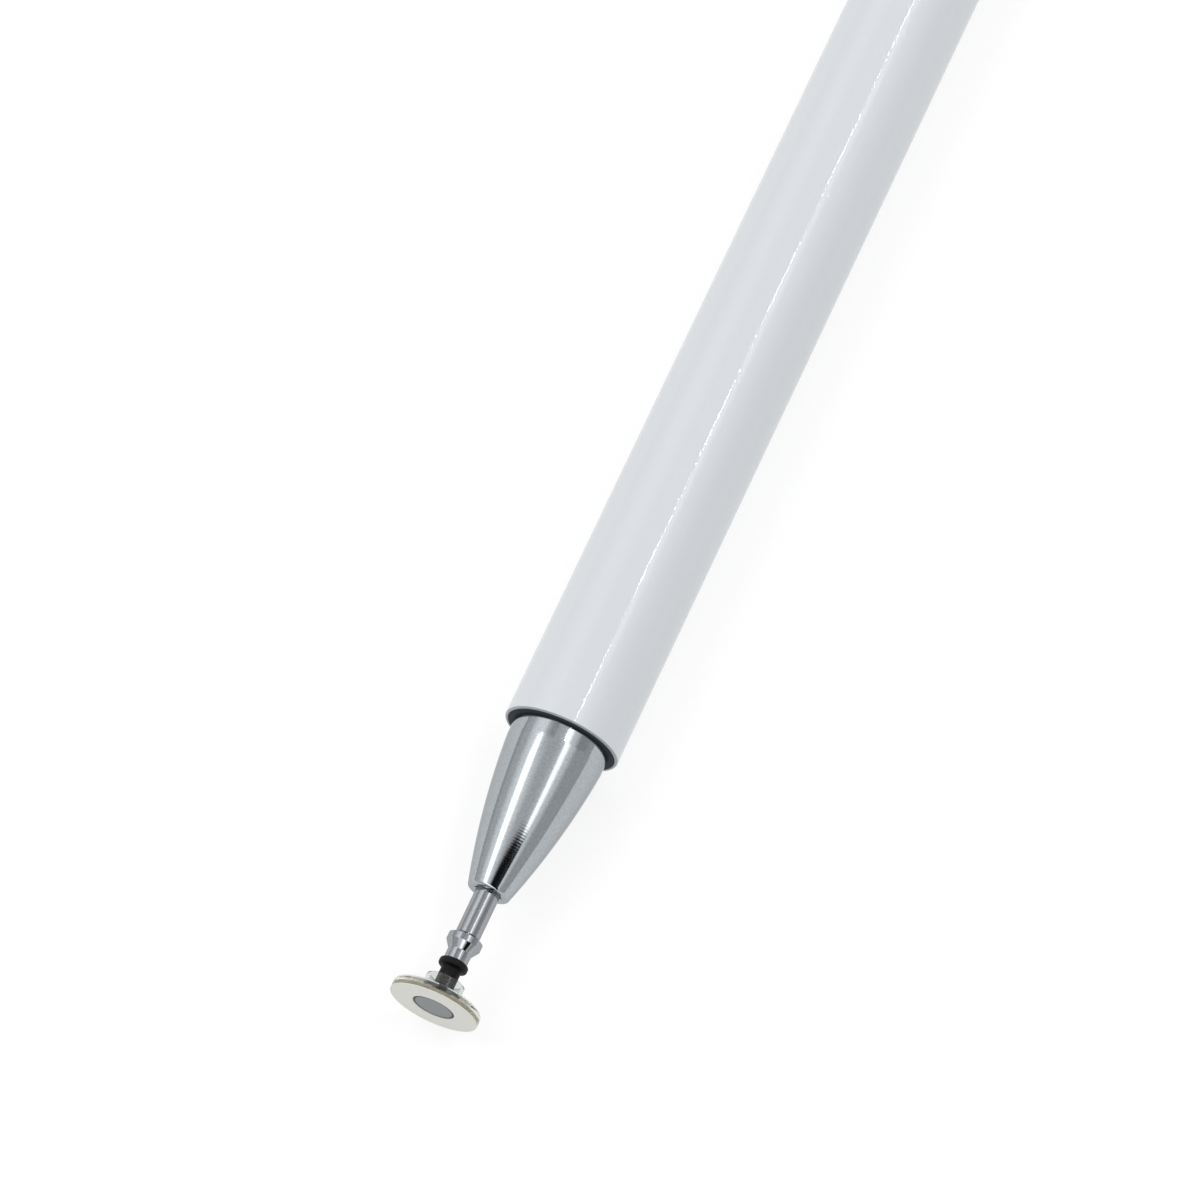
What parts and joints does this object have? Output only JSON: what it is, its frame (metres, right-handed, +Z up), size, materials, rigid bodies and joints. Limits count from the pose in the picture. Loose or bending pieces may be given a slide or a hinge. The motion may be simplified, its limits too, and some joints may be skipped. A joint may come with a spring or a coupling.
{
  "type": "stylus pen",
  "caption": "Slim white touch-screen stylus with a chromed nose, a push-in tip rod and a clear contact disc that tilts on a black rubber neck.",
  "frame": {"origin": "on the surface that the pen lies on, under the middle of its length", "axes": "+X along the pen from tip to tail, +Z up"},
  "size_m": [0.1642, 0.009, 0.009],
  "materials": {
    "white_lacquer": "white gloss lacquer over a drawn metal tube",
    "brass": "turned brass",
    "black_nylon": "blue-black moulded nylon",
    "chrome": "turned and chromed, with fine turning lines",
    "black_rubber": "black conductive rubber, matt",
    "clear_plastic": "clear moulded polycarbonate",
    "adhesive": "thin clear adhesive, slightly yellow",
    "milky_film": "milky contact film",
    "grey_contact": "grey nickel-plated contact, satin"
  },
  "bodies": {
    "barrel": {"barrel_tube": "white_lacquer", "front_bush": "brass", "tail_plug": "white_lacquer"},
    "washer": {"seal_washer": "black_nylon"},
    "nose": {"nose_cone": "chrome"},
    "grip": {"grip_ring": "black_rubber"},
    "tip": {"tip_rod": "chrome", "flex_neck": "black_rubber"},
    "disc": {"clear_disc": "clear_plastic", "film_adhesive": "adhesive", "disc_film": "milky_film", "contact_stud": "grey_contact"}
  },
  "joints": [
    {"name": "nose_travel", "type": "slide", "parent": "barrel", "child": "washer", "axis": [-1, 0, 0], "range_m": [0, 0.00562]},
    {"name": "nose_turn", "type": "hinge", "parent": "washer", "child": "nose", "pos_m": [-0.05933, 0, 0.0045], "axis": [-1, 0, 0], "range_deg": [0, 2700]},
    {"name": "tip_pull", "type": "slide", "parent": "nose", "child": "grip", "axis": [-1, 0, 0], "range_m": [0, 0.01]},
    {"name": "tip_swivel", "type": "hinge", "parent": "grip", "child": "tip", "pos_m": [-0.07247, 0, 0.0045], "axis": [-1, 0, 0], "continuous": true},
    {"name": "disc_tilt", "type": "hinge", "parent": "tip", "child": "disc", "pos_m": [-0.08005, 0, 0.0045], "axis": [0, 1, 0], "range_deg": [-30, 30], "stiffness_Nm_per_rad": 0.0003, "deforming": ["flex_neck"]}
  ],
  "couplings": [
    {"joint": "nose_turn", "follows": "nose_travel", "rad_per_m": 8377.6}
  ]
}
